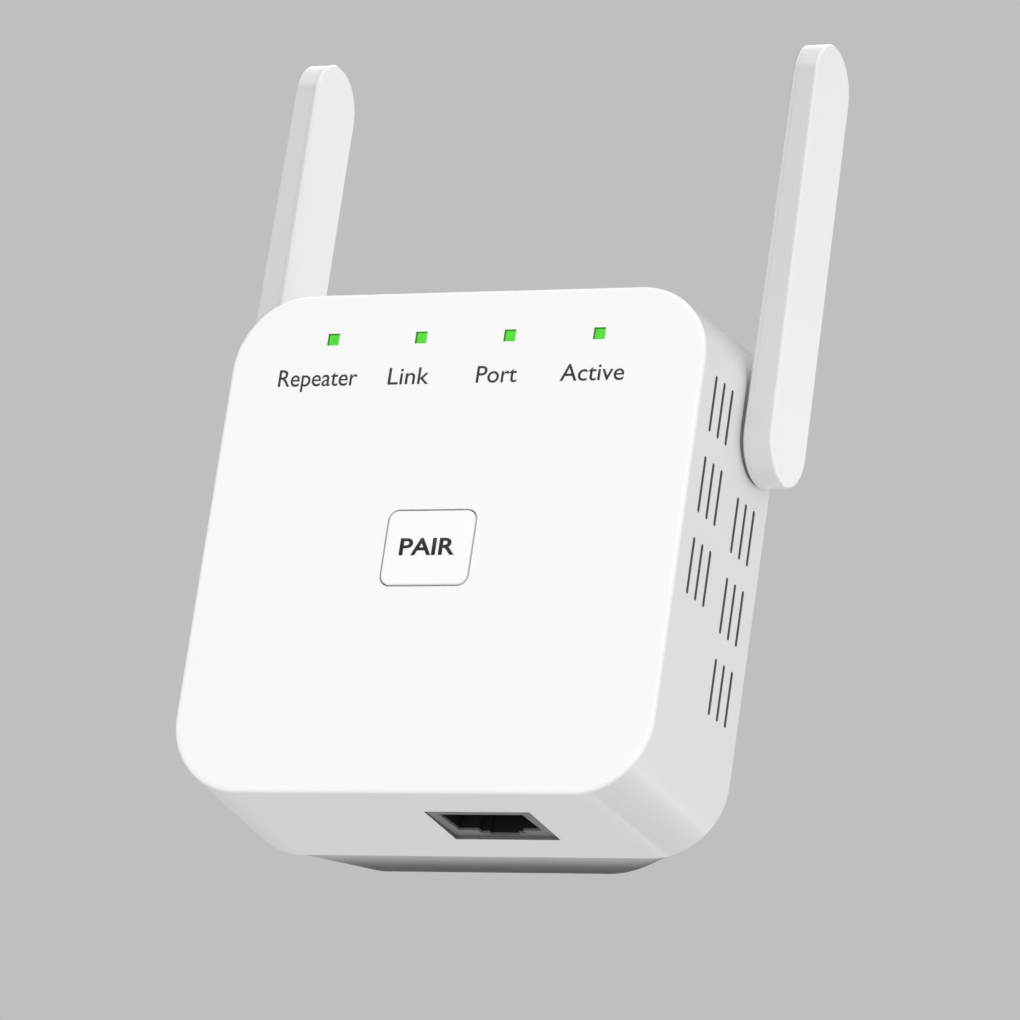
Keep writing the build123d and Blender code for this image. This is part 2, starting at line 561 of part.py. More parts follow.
CHOKE_X, CHOKE_Z, CHOKE_CORE_R, CHOKE_FLANGE_R = -16.0, -9.0, 2.0, 4.0
CHOKE_START, CHOKE_STOP, CHOKE_FLANGE_T = POWER_FRONT + 0.8, POWER_FRONT + 8.8, 1.2
with BuildPart() as choke_core:
    rod(CHOKE_X, CHOKE_Z, CHOKE_CORE_R, CHOKE_START, CHOKE_STOP)
    rod(CHOKE_X, CHOKE_Z, CHOKE_FLANGE_R, CHOKE_START, CHOKE_START + CHOKE_FLANGE_T)
    rod(CHOKE_X, CHOKE_Z, CHOKE_FLANGE_R, CHOKE_STOP - CHOKE_FLANGE_T, CHOKE_STOP)
    leads(CHOKE_X, CHOKE_Z, 4.0)
pieces["choke_core"] = choke_core

with BuildPart() as choke_winding:
    winding_start, winding_stop = CHOKE_START + CHOKE_FLANGE_T + 0.05, CHOKE_STOP - CHOKE_FLANGE_T - 0.05
    rod(CHOKE_X, CHOKE_Z, CHOKE_FLANGE_R - 0.5, winding_start, winding_stop)
    rod(CHOKE_X, CHOKE_Z, CHOKE_CORE_R + 0.05, winding_start, winding_stop, mode=Mode.SUBTRACT)
pieces["choke_winding"] = choke_winding

COUPLER_X, COUPLER_Z = 6.0, -9.0
with BuildPart() as optocoupler:
    block(COUPLER_X, COUPLER_Z, 4.6, 6.5, POWER_FRONT + 0.5, POWER_FRONT + 4.0)
    for lead_z in (COUPLER_Z - 2.2, COUPLER_Z + 2.2):
        leads(COUPLER_X, lead_z, 3.6)
pieces["optocoupler"] = optocoupler

CONTROLLER_X, CONTROLLER_Z, CONTROLLER_LEG_PITCH = -4.0, 3.0, 1.27
with BuildPart() as power_controller_chip:
    block(CONTROLLER_X, CONTROLLER_Z, 5, 4, POWER_FRONT + 0.1, POWER_FRONT + 1.7)
    for leg in range(4):
        leg_x = CONTROLLER_X + (leg - 1.5) * CONTROLLER_LEG_PITCH
        block(leg_x, CONTROLLER_Z, 0.4, 6, POWER_FRONT, POWER_FRONT + 0.3)
pieces["power_controller_chip"] = power_controller_chip

with BuildPart() as mains_wires:
    for side in (1, -1):
        with BuildLine():
            Spline((side * PIN_PITCH / 2, -PIN_TAIL_DEPTH - 0.02, 0),
                   (side * 12, -POWER_REAR + 0.02, 6 * side),
                   tangents=[(0, -1, 0), (0, -1, 0)])
        with BuildSketch(at(PIN_TAIL_DEPTH + 0.02)):
            with Locations((side * PIN_PITCH / 2, 0)):
                Circle(WIRE_R)
        sweep()
pieces["mains_wires"] = mains_wires

LINK_X, LINK_Z, LINK_H = 20.0, -14.0, 5.0
with BuildPart() as link_connectors:
    block(LINK_X, LINK_Z, 7, LINK_H, BOARD_REAR, BOARD_REAR - 4.5)
    block(LINK_X - 3, LINK_Z, 7, LINK_H, POWER_FRONT, POWER_FRONT + 4.5)
pieces["link_connectors"] = link_connectors

with BuildPart() as link_wires:
    for offset in (-1.25, 1.25):
        with BuildLine():
            Spline((LINK_X + offset, -BOARD_REAR + 4.52, LINK_Z),
                   (LINK_X - 3 + offset, -POWER_FRONT - 4.52, LINK_Z),
                   tangents=[(0, 1, 0), (0, 1, 0)])
        with BuildSketch(at(BOARD_REAR - 4.52)):
            with Locations((LINK_X + offset, LINK_Z)):
                Circle(0.6)
        sweep()
pieces["link_wires"] = link_wires

with BuildPart() as insulation_sheet:
    block(0, 8.5, SHEET_W, SHEET_H, SHEET_DEPTH, SHEET_DEPTH + SHEET_T, radius=2.0)
pieces["insulation_sheet"] = insulation_sheet

# ---- right-hand antenna and its cable; the left-hand one mirrors it ----
with BuildPart() as coax_right:
    with BuildLine():
        Spline((CONNECTOR_X, -BOARD_REAR + 1.62, CONNECTOR_Z), (HUB_END_X - 0.6, -HINGE_DEPTH, HINGE_Z),
               tangents=[(0, 1, 0), (1, 0, 0)])
    with BuildSketch(at(BOARD_REAR - 1.62)):
        with Locations((CONNECTOR_X, CONNECTOR_Z)):
            Circle(COAX_R)
    sweep()
pieces["coax_right"] = coax_right

with BuildPart() as antenna_right_base:
    extrude(blade_outline(ANTENNA_X), amount=BASE_PLATE_T)
    chamfer(antenna_right_base.faces().sort_by(Axis.X)[0].edges(), 0.3)
    disc(ANTENNA_X + BASE_PLATE_T / 2, HUB_END_X, HUB_R)
    disc(HUB_END_X - 1, ANTENNA_X + BASE_PLATE_T + 1, HUB_BORE_R, mode=Mode.SUBTRACT)
    with BuildSketch(Plane.YZ.offset(CLIP_X)):
        with Locations((-HINGE_DEPTH, HINGE_Z)):
            Circle(HUB_R + 1)
            Circle(CLIP_GROOVE_R, mode=Mode.SUBTRACT)
    extrude(amount=CLIP_T + 0.1, mode=Mode.SUBTRACT)
pieces["antenna_right_base"] = antenna_right_base

SHELL_X = ANTENNA_X + BASE_PLATE_T
OUTER_X = ANTENNA_X + ANTENNA_T
LEAN_SLOPE = ANTENNA_LEAN / (ANTENNA_TOP_Z - ANTENNA_BOTTOM_Z)
with BuildPart() as antenna_right_shell:
    extrude(blade_outline(SHELL_X), amount=ANTENNA_T - BASE_PLATE_T)
    outer_face = Plane((OUTER_X, 0, ANTENNA_BOTTOM_Z), x_dir=(0, 1, 0), z_dir=(1, 0, LEAN_SLOPE))
    split(bisect_by=outer_face, keep=Keep.BOTTOM)
    fillet(antenna_right_shell.faces().sort_by(Axis.X)[-1].edges(), 0.45)
    extrude(blade_outline(SHELL_X, -1.0), amount=ANTENNA_T - BASE_PLATE_T - 1.5, mode=Mode.SUBTRACT)
pieces["antenna_right_shell"] = antenna_right_shell

STRIP_BOTTOM, STRIP_TOP = 28.0, 77.0
with BuildPart() as antenna_right_strip:
    with BuildSketch(Plane.YZ.offset(SHELL_X + 0.5)):
        with Locations((-HINGE_DEPTH, (STRIP_BOTTOM + STRIP_TOP) / 2)):
            Rectangle(7, STRIP_TOP - STRIP_BOTTOM)
    extrude(amount=0.8)
pieces["antenna_right_strip"] = antenna_right_strip

CABLE_BEND = 1.4
CABLE_X = SHELL_X + 0.85
with BuildPart() as antenna_right_cable:
    with BuildLine():
        along = Line((HUB_END_X - 0.3, -HINGE_DEPTH, HINGE_Z), (CABLE_X - CABLE_BEND, -HINGE_DEPTH, HINGE_Z))
        bend = TangentArc(along @ 1, (CABLE_X, -HINGE_DEPTH, HINGE_Z + CABLE_BEND), tangent=along % 1)
        Line(bend @ 1, (CABLE_X, -HINGE_DEPTH, STRIP_BOTTOM - 0.1))
    with BuildSketch(Plane.YZ.offset(HUB_END_X - 0.3)):
        with Locations((-HINGE_DEPTH, HINGE_Z)):
            Circle(COAX_R)
    sweep()
pieces["antenna_right_cable"] = antenna_right_cable

with BuildPart() as antenna_right_washer:
    disc(CLIP_X + CLIP_T + 0.1, PAD_X - 0.05, 5.0)
    disc(CLIP_X, PAD_X, HUB_R + 2 * RUNNING_GAP, mode=Mode.SUBTRACT)
pieces["antenna_right_washer"] = antenna_right_washer

with BuildPart() as antenna_right_clip:
    disc(CLIP_X + 0.05, CLIP_X + 0.05 + CLIP_T, 4.4)
    disc(CLIP_X, CLIP_X + 1, CLIP_GROOVE_R + 0.02, mode=Mode.SUBTRACT)
    block(CLIP_X, HINGE_Z - 4, 3, 8, HINGE_DEPTH - 1.3, HINGE_DEPTH + 1.3, mode=Mode.SUBTRACT)
pieces["antenna_right_clip"] = antenna_right_clip

for right_name in [name for name in pieces if "right" in name and name != "plug_pin_right"]:
    with BuildPart() as left_piece:
        mirror(pieces[right_name].part, about=Plane.YZ)
    pieces[right_name.replace("right", "left")] = left_piece

# ---- one STEP file per piece ----
os.makedirs("parts", exist_ok=True)
for name, piece in pieces.items():
    piece.part.label = name
    export_step(piece.part, f"parts/{name}.step")
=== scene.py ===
import json
import math

import bpy
from mathutils import Matrix, Vector


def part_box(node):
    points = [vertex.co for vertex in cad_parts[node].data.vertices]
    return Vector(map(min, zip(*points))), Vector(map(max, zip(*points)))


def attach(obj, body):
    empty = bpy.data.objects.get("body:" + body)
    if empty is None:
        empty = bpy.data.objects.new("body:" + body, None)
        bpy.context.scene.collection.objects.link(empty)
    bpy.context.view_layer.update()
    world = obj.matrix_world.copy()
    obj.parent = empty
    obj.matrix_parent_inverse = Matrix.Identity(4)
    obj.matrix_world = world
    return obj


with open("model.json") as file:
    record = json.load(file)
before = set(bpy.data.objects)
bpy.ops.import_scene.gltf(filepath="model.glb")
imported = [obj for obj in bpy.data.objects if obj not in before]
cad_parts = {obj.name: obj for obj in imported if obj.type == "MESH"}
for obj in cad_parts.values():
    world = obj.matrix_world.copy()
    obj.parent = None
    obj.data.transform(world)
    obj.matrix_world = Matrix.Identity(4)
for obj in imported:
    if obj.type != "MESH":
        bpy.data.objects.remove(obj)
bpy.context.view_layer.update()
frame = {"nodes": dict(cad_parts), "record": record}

scene = bpy.context.scene
MM = 0.001

# ---- camera: looks up at the front from the right and below ----
VIEW_AZIMUTH, VIEW_ELEVATION, VIEW_ROLL = math.radians(27.2), math.radians(-18.4), math.radians(8.6)
CAMERA_DISTANCE = 1.0
CAMERA_LENS, SENSOR = 251.8, 36.0
AIM_RIGHT, AIM_UP = 10.1 * MM, 4.0 * MM     # the object sits a little left of and below the frame's centre

# ---- studio ----
BACKDROP_GREY = 0.521
SURROUND, SURROUND_LEAN = 0.64, (0.26, -0.09, -0.06)
# brightness seen in reflections, from straight down (0) to straight up (1)
REFLECTED_BANDS = [(0.0, 0.12), (0.12, 0.12), (0.21, 0.0), (0.27, 0.0), (0.295, 1.0), (0.345, 0.38),
                   (0.50, 0.30), (0.655, 0.38), (0.72, 0.05), (0.78, 0.1), (0.86, 1.0), (1.0, 0.8)]
BAND_STRENGTH = 2.0
LEVEL_PLACE = 0.345                         # bands below this show only in rays that head right
LOW_BAND_FADE = (-0.25, 0.0)                # X of a ray where the low bands start and finish fading in
KEY_POWER, SIDE_POWER, FILL_POWER, BACK_POWER = 2.95, 23.0, 0.5, 13.0
KEY_PLACE, SIDE_PLACE, BACK_PLACE = (0.08, -0.85, 0.03), (2.6, 0.7, 0.4), (-0.5, 1.5, 0.9)
KEY_SIZE, SIDE_SIZE, BACK_SIZE = 0.5, 1.0, 0.8
FLOOR_Z, FLOOR_HALF = -1.6, 8.0

# ---- printed words ----
INK_T = 0.04 * MM
CAP_RATIO = 0.65                            # height of a capital in the font, as a share of its size
LED_W = 1.6 * MM
# cap height, then the base line's drop below the windows or the word's width, then how much strokes thicken
LABEL_CAP, LABEL_DROP, LABEL_WEIGHT = 2.4 * MM, 7.1 * MM, 0.008 * MM
BUTTON_CAP, BUTTON_WORD_W, BUTTON_WEIGHT = 2.3 * MM, 8.6 * MM, 0.07 * MM
LABEL_INK, BUTTON_INK = (0.022, 0.023, 0.025), (0.010, 0.010, 0.011)
# word under each window, its shift from the window's centre and its width, in millimetres
WINDOW_WORDS = [("Repeater", -1.5, 12.5), ("Link", -1.0, 6.4), ("Port", -1.1, 6.3), ("Active", -0.2, 9.8)]

# ---- painted shade on the inside walls of the front cover's openings ----
SIDE_REACH = 3.2 * MM                       # how far in from each side its slots and recesses are looked for
SLOT_MARGIN = 5 * MM                        # no vent is nearer than this to the top or bottom
VENT_FRONT, VENT_BACK = 3 * MM, 0.5 * MM    # nor nearer than these to the front face and the rear edge
PAST_EDGE = 1 * MM                          # how far a box goes past an opening's edge
WALL_TURN = 0.3                             # most of an axis that a wall running along it may face
OUTER_SKIN = 0.03 * MM                      # outermost layer that keeps its white
MOUTH_DEPTH, WINDOW_DEPTH = 3 * MM, 2 * MM

# ---- where painted shade darkens the rear cover's underside ----
SHADE_START, SHADE_FULL = 12 * MM, 5 * MM   # heights above its lowest point
SHADE_BEHIND = (-2 * MM, 7 * MM)            # depths from the parting line
SHADE_TURN = (0.50, 0.70)                   # how far a face is turned from the eye


# ---------------------------------------------------------------- node tree helpers
class Nodes:
    """Short way to add and join shader nodes in one material."""

    def __init__(self, name):
        self.material = bpy.data.materials.new(name)
        self.material.use_nodes = True
        self.tree = self.material.node_tree
        self.tree.nodes.clear()
        self.output = self.add("ShaderNodeOutputMaterial")
        self.bsdf = self.add("ShaderNodeBsdfPrincipled")
        self.join(self.bsdf.outputs["BSDF"], self.output.inputs["Surface"])
        coordinates = self.add("ShaderNodeTexCoord")
        self.position = coordinates.outputs["Object"]

    def add(self, kind, **settings):
        node = self.tree.nodes.new(kind)
        for key, value in settings.items():
            setattr(node, key, value)
        return node

    def join(self, source, target):
        self.tree.links.new(source, target)

    def set(self, **values):
        """Sets inputs of the main shader, with underscores for spaces."""
        for key, value in values.items():
            target = self.bsdf.inputs[key.replace("_", " ")]
            if hasattr(value, "is_linked"):
                self.join(value, target)
            else:
                target.default_value = value

    def math(self, operation, *values):
        node = self.add("ShaderNodeMath", operation=operation)
        for slot, value in zip(node.inputs, values):
            if hasattr(value, "is_linked"):
                self.join(value, slot)
            else:
                slot.default_value = value
        return node.outputs[0]

    def split(self, vector):
        node = self.add("ShaderNodeSeparateXYZ")
        self.join(vector, node.inputs[0])
        return node.outputs

    def blend(self, factor, first, second):
        """Colour that is first where factor is 0 and second where it is 1."""
        node = self.add("ShaderNodeMix", data_type="RGBA")
        self.join(factor, node.inputs["Factor"])
        for slot, value in zip((node.inputs[6], node.inputs[7]), (first, second)):
            if hasattr(value, "is_linked"):
                self.join(value, slot)
            else:
                slot.default_value = (*value, 1)
        return node.outputs[2]

    def walls(self, low, high, axis, mirrored=False):
        """1 on faces inside a box that run along an axis, 0 elsewhere: the inside walls of an opening."""
        inside = 1.0
        for index, place in enumerate(self.split(self.position)):
            if mirrored and index == 0:
                place = self.math("ABSOLUTE", place)
            middle, half = (low[index] + high[index]) / 2, (high[index] - low[index]) / 2
            inside = self.math("MULTIPLY", inside, self.math("COMPARE", place, middle, half))
        normal = self.add("ShaderNodeNewGeometry").outputs["True Normal"]
        facing = self.math("ABSOLUTE", self.split(normal)[axis])
        return self.math("MULTIPLY", inside, self.math("LESS_THAN", facing, WALL_TURN))

    def noise(self, size, detail=2.0, stretch=(1, 1, 1)):
        """Noise whose features are about this size in metres."""
        mapping = self.add("ShaderNodeMapping")
        mapping.inputs["Scale"].default_value = stretch
        self.join(self.position, mapping.inputs["Vector"])
        noise = self.add("ShaderNodeTexNoise")
        noise.inputs["Scale"].default_value = 1.0 / size
        noise.inputs["Detail"].default_value = detail
        self.join(mapping.outputs[0], noise.inputs["Vector"])
        return noise.outputs["Fac"]

    def ramp(self, factor, low, high, start=0.3, stop=0.7):
        """Colour that runs from low to high as factor goes from start to stop."""
        ramp = self.add("ShaderNodeValToRGB")
        first, last = ramp.color_ramp.elements
        first.position, last.position = start, stop
        first.color, last.color = (*low, 1), (*high, 1)
        self.join(factor, ramp.inputs["Fac"])
        return ramp.outputs["Color"]

    def span(self, factor, low, high):
        """Number that runs from low to high as factor goes from 0.3 to 0.7."""
        node = self.add("ShaderNodeMapRange")
        for key, value in zip(("From Min", "From Max", "To Min", "To Max"), (0.3, 0.7, low, high)):
            node.inputs[key].default_value = value
        self.join(factor, node.inputs["Value"])
        return node.outputs[0]

    def smooth(self, value, start, stop):
        """0 below start, 1 above stop, and a smooth step between them."""
        node = self.add("ShaderNodeMapRange", interpolation_type="SMOOTHSTEP")
        node.inputs["From Min"].default_value, node.inputs["From Max"].default_value = start, stop
        self.join(value, node.inputs["Value"])
        return node.outputs[0]

    def bump(self, height, depth, edge=0.0):
        """Bump of a real depth in metres, over edges that catch the light as if rounded."""
        node = self.add("ShaderNodeBump")
        node.inputs["Distance"].default_value = depth
        self.join(height, node.inputs["Height"])
        if edge:
            rounded = self.add("ShaderNodeBevel", samples=4)
            rounded.inputs["Radius"].default_value = edge
            self.join(rounded.outputs["Normal"], node.inputs["Normal"])
        self.join(node.outputs["Normal"], self.bsdf.inputs["Normal"])


def shade(colour, factor):
    return tuple(min(1.0, channel * factor) for channel in colour)


# ---------------------------------------------------------------- materials
def plastic(name, colour, roughness=0.4, grain=0.15 * MM, depth=2e-6, mottle=0.015, gloss=0.0, edge=0.0,
            uneven=0.03):
    """Injection-moulded plastic: fine spark-eroded grain, slight flow mottle and uneven sheen."""
    m = Nodes(name)
    m.colour = m.ramp(m.noise(14 * MM, 3.0), shade(colour, 1 - mottle), shade(colour, 1 + mottle))
    m.set(Base_Color=m.colour, Roughness=m.span(m.noise(3 * MM, 4.0), roughness - uneven, roughness + uneven),
          Coat_Weight=gloss, Coat_Roughness=0.12)
    m.bump(m.noise(grain, 2.0), depth, edge)
    return m


def moulded(name, colour, **settings):
    return plastic(name, colour, **settings).material


def front_shell(name):
    """White front cover; the inside walls of its openings and recesses are darkened with painted shade, as
    unlit gaps look.
    """
    m = plastic(name, WHITE, roughness=0.34, mottle=0.006, gloss=0.35, edge=0.12 * MM)
    low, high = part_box("front_cover")
    inner, outer = high.x - SIDE_REACH, high.x + PAST_EDGE
    vents = m.walls((inner, low.y + VENT_FRONT, low.z + SLOT_MARGIN),
                    (outer, high.y - VENT_BACK, high.z - SLOT_MARGIN), axis=0, mirrored=True)
    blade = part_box("antenna_left_shell")[0]
    recesses = m.walls((inner, blade.y - PAST_EDGE, blade.z - PAST_EDGE),
                       (outer, high.y + PAST_EDGE, high.z), axis=0, mirrored=True)
    bar_low, bar_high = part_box("light_pipe_bar")
    windows = m.walls((bar_low.x - PAST_EDGE, low.y + OUTER_SKIN, bar_low.z),
                      (bar_high.x + PAST_EDGE, low.y + WINDOW_DEPTH, bar_high.z), axis=1)
    jack_low, jack_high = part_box("jack_shield")
    mouth = m.walls((jack_low.x - PAST_EDGE, jack_low.y - PAST_EDGE, low.z + OUTER_SKIN),
                    (jack_high.x + PAST_EDGE, jack_high.y + PAST_EDGE, low.z + MOUTH_DEPTH), axis=2)
    colour = m.colour
    # painted shade over the inside walls of the vents, antenna recesses, status windows and jack mouth
    for place, dark in ((vents, VENT_SHADE), (recesses, RECESS_SHADE), (windows, WINDOW_SHADE),
                        (mouth, MOUTH_SHADE)):
        colour = m.blend(place, colour, dark)
    m.set(Base_Color=colour)
    return m.material


def rear_shell(name):
    """White rear cover with a coarser grain; painted shade darkens its underside where it turns away from the
    eye.
    """
    m = plastic(name, REAR_WHITE, roughness=0.5, grain=0.25 * MM, depth=8e-6, edge=0.15 * MM)
    parting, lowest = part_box("front_cover")[1].y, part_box("rear_cover")[0].z
    place = m.split(m.position)
    underside = m.smooth(place["Z"], lowest + SHADE_START, lowest + SHADE_FULL)
    behind = m.smooth(place["Y"], parting + SHADE_BEHIND[0], parting + SHADE_BEHIND[1])
    turned = m.smooth(m.add("ShaderNodeLayerWeight").outputs["Facing"], *SHADE_TURN)
    # painted shade: strongest low down, behind the parting line and on faces turned from the eye
    shaded = m.math("MULTIPLY", m.math("MULTIPLY", underside, behind), turned)
    m.set(Base_Color=m.blend(shaded, m.colour, REAR_SHADE))
    return m.material


def metal(name, colour, roughness=0.3, stretch=(1, 30, 1), depth=1.5e-6):
    """Turned, drawn or rolled metal with fine lines along one direction and small tarnish spots."""
    m = Nodes(name)
    lines = m.noise(0.6 * MM, 4.0, stretch)
    tarnish = m.noise(1.7 * MM, 5.0)
    m.set(Metallic=1.0, Base_Color=m.ramp(tarnish, shade(colour, 0.82), colour),
          Roughness=m.span(lines, roughness - 0.07, roughness + 0.1))
    m.bump(lines, depth)
    return m.material


def rubbery(name, colour, roughness=0.55):
    """Cable jacket or soft pad: matt, slightly uneven."""
    m = Nodes(name)
    m.set(Base_Color=m.ramp(m.noise(2 * MM, 3.0), shade(colour, 0.85), shade(colour, 1.1)),
          Roughness=m.span(m.noise(0.5 * MM), roughness - 0.08, roughness + 0.08))
    m.bump(m.noise(0.3 * MM, 3.0), 6e-6)
    return m.material


def circuit_board(name, mask, copper):
    """Solder-masked board with a straight-edged pattern of lighter, slightly raised tracks."""
    m = Nodes(name)
    cells = m.add("ShaderNodeTexVoronoi", distance="MANHATTAN", feature="F1")
    cells.inputs["Scale"].default_value = 1 / (2.6 * MM)
    m.join(m.position, cells.inputs["Vector"])
    tracks = m.math("PINGPONG", m.math("MULTIPLY", cells.outputs["Distance"], 3.0), 0.5)
    m.set(Base_Color=m.ramp(tracks, mask, copper, 0.24, 0.27), Roughness=m.span(tracks, 0.28, 0.4),
          Coat_Weight=0.3)
    m.bump(tracks, 3e-5)
    return m.material


def wound(name, colour, pitch=0.35 * MM, metallic=0.0):
    """Wound wire or tape, as fine ridges round the part's depth axis, with painted shade in the hollows
    between them.
    """
    m = Nodes(name)
    wave = m.add("ShaderNodeTexWave", bands_direction="Y")
    wave.inputs["Scale"].default_value = 0.31 / pitch
    m.join(m.position, wave.inputs["Vector"])
    # the hollows between turns are darkened by the same waves that lower the bump: painted shade
    m.set(Base_Color=m.ramp(wave.outputs["Fac"], shade(colour, 0.6), colour),
          Metallic=metallic, Roughness=0.35)
    m.bump(wave.outputs["Fac"], 6e-5)
    return m.material


def lit_window(name, colour, glow):
    """Light pipe: clear green body whose front ends glow, unevenly as a small lamp behind them does."""
    m = Nodes(name)
    m.set(Base_Color=m.ramp(m.noise(0.8 * MM), shade(colour, 0.9), shade(colour, 1.1)), Roughness=0.3,
          Transmission_Weight=0.2, Emission_Color=(*glow, 1))
    near = m.math("LESS_THAN", m.split(m.position)["Y"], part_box("light_pipe_bar")[0].y + 1.0 * MM)
    m.set(Emission_Strength=m.math("MULTIPLY", near, m.span(m.noise(1.1 * MM), 0.85, 1.15)))
    m.bump(m.noise(0.4 * MM), 4e-6)
    return m.material


WHITE = (0.86, 0.86, 0.855)
# REAR_SHADE is the painted shade laid on the rear cover's underside
REAR_WHITE, REAR_SHADE = (0.70, 0.70, 0.695), (0.05, 0.052, 0.052)
# painted shade for the inside walls of the vents, status windows, antenna recesses and jack mouth; the
# windows' painted shade is tinted green as if lit by their glow
VENT_SHADE, WINDOW_SHADE, RECESS_SHADE = (0.18, 0.185, 0.183), (0.11, 0.28, 0.09), (0.45, 0.45, 0.445)
MOUTH_SHADE = (0.16, 0.17, 0.165)
MATERIALS = {
    "housing_white": front_shell,
    "rear_white": rear_shell,
    "antenna_white": lambda n: moulded(n, WHITE, roughness=0.34, mottle=0.005, gloss=0.8, edge=0.15 * MM,
                                       depth=8e-7, uneven=0.008),
    "button_white": lambda n: moulded(n, (0.88, 0.88, 0.88), roughness=0.3, mottle=0.006, gloss=0.2),
    "window_green": lambda n: lit_window(n, (0.07, 0.42, 0.03), (0.035, 0.36, 0.01)),
    "jack_grey": lambda n: moulded(n, (0.155, 0.165, 0.16), roughness=0.45),
    "jack_black": lambda n: moulded(n, (0.012, 0.013, 0.012), roughness=0.4),
    "pin_nickel": lambda n: metal(n, (0.72, 0.70, 0.66), 0.2, (1, 40, 1)),
    "sleeve_dark": lambda n: moulded(n, (0.03, 0.03, 0.035), roughness=0.5),
    "carrier_white": lambda n: moulded(n, (0.70, 0.70, 0.68), roughness=0.5),
    "screw_zinc": lambda n: metal(n, (0.60, 0.61, 0.62), 0.35, (1, 1, 1)),
    "board_green": lambda n: circuit_board(n, (0.010, 0.10, 0.035), (0.03, 0.22, 0.07)),
    "power_board_tan": lambda n: circuit_board(n, (0.36, 0.22, 0.09), (0.50, 0.34, 0.15)),
    "chip_black": lambda n: moulded(n, (0.03, 0.03, 0.032), roughness=0.55, depth=6e-6),
    "pad_blue": lambda n: rubbery(n, (0.25, 0.45, 0.65)),
    "sink_aluminium": lambda n: metal(n, (0.75, 0.76, 0.77), 0.3, (20, 20, 1)),
    "can_steel": lambda n: metal(n, (0.62, 0.62, 0.60), 0.28, (12, 12, 1)),
    "gold": lambda n: metal(n, (0.85, 0.60, 0.22), 0.25),
    "led_white": lambda n: moulded(n, (0.85, 0.86, 0.70), roughness=0.3),
    "plunger_dark": lambda n: moulded(n, (0.05, 0.05, 0.05), roughness=0.4),
    "ferrite": lambda n: moulded(n, (0.06, 0.06, 0.065), roughness=0.7, grain=0.3 * MM, depth=2e-5,
                                 mottle=0.2),
    "tape_yellow": lambda n: wound(n, (0.75, 0.55, 0.05), 1.2 * MM),
    "copper": lambda n: wound(n, (0.72, 0.30, 0.14), metallic=1.0),
    "capacitor_sleeve": lambda n: moulded(n, (0.02, 0.035, 0.09), roughness=0.25, gloss=0.4),
    "capacitor_blue": lambda n: moulded(n, (0.04, 0.18, 0.50), roughness=0.25, gloss=0.5),
    "resistor_green": lambda n: moulded(n, (0.25, 0.36, 0.28), roughness=0.6, depth=1e-5),
    "wire_red": lambda n: rubbery(n, (0.50, 0.03, 0.02)),
    "connector_white": lambda n: moulded(n, (0.78, 0.76, 0.70), roughness=0.45),
    "sheet_film": lambda n: moulded(n, (0.05, 0.05, 0.05), roughness=0.35),
    "cable_grey": lambda n: rubbery(n, (0.09, 0.09, 0.10)),
    "washer_nylon": lambda n: moulded(n, (0.65, 0.65, 0.60), roughness=0.45),
    "clip_spring_steel": lambda n: metal(n, (0.30, 0.30, 0.32), 0.35, (1, 1, 1)),
}


def paint_cad_nodes():
    made = {}
    for part in frame["record"]["subparts"]:
        slot = part["material_slot"]
        if slot not in made:
            made[slot] = MATERIALS[slot](slot)
        mesh = frame["nodes"][part["node"]].data
        mesh.materials.clear()
        mesh.materials.append(made[slot])


paint_cad_nodes()


# ---------------------------------------------------------------- lettering
def ink(name, colour):
    """Pad-printed ink, a little uneven."""
    m = Nodes(name)
    m.set(Base_Color=m.ramp(m.noise(0.5 * MM, 3.0), shade(colour, 0.9), shade(colour, 1.15)), Roughness=0.5)
    m.bump(m.noise(0.1 * MM), 3e-6)
    return m.material


front_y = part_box("front_cover")[0].y
button_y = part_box("push_button")[0].y


def lettering(text, centre_x, base_z, y, cap_height, width, weight, material, body):
    """Printed word on a forward-facing surface, scaled to a cap height and an overall width."""
    name = "label_" + text.lower()
    curve = bpy.data.curves.new(name, "FONT")
    curve.body = text
    curve.align_x = "CENTER"
    curve.size = cap_height / CAP_RATIO
    curve.offset = weight
    curve.resolution_u = 6
    shape = bpy.data.objects.new(name + "_curve", curve)
    scene.collection.objects.link(shape)
    bpy.context.view_layer.update()
    flat = bpy.data.meshes.new_from_object(shape.evaluated_get(bpy.context.evaluated_depsgraph_get()))
    bpy.data.objects.remove(shape)
    low, high = min(v.co.x for v in flat.vertices), max(v.co.x for v in flat.vertices)
    stretch = width / (high - low)
    # text lies in XY facing +Z; stand it up to face -Y
    place = (Matrix.Translation((centre_x, y, base_z)) @ Matrix.Rotation(math.pi / 2, 4, "X")
             @ Matrix.Diagonal((stretch, 1, 1, 1)) @ Matrix.Translation((-(low + high) / 2, 0, 0)))
    flat.transform(place)
    flat.name = name
    piece = bpy.data.objects.new(name, flat)
    scene.collection.objects.link(piece)
    thick = piece.modifiers.new("thickness", "SOLIDIFY")
    thick.thickness = INK_T
    thick.offset = 1.0
    flat.materials.clear()
    flat.materials.append(material)
    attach(piece, body)


def window_labels():
    """One word under each status window."""
    dark = ink("label_ink", LABEL_INK)
    low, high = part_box("status_leds")
    middle, pitch = (low.x + high.x) / 2, (high.x - low.x - LED_W) / (len(WINDOW_WORDS) - 1)
    base = (low.z + high.z) / 2 - LABEL_DROP
    for index, (word, shift, width) in enumerate(WINDOW_WORDS):
        window_x = middle + (index - (len(WINDOW_WORDS) - 1) / 2) * pitch
        lettering(word, window_x + shift * MM, base, front_y, LABEL_CAP, width * MM, LABEL_WEIGHT,
                  dark, "housing")


def button_label():
    low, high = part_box("push_button")
    middle = (low + high) / 2
    lettering("PAIR", middle.x, middle.z - BUTTON_CAP / 2, button_y, BUTTON_CAP, BUTTON_WORD_W,
              BUTTON_WEIGHT, ink("button_ink", BUTTON_INK), "button")


window_labels()
button_label()


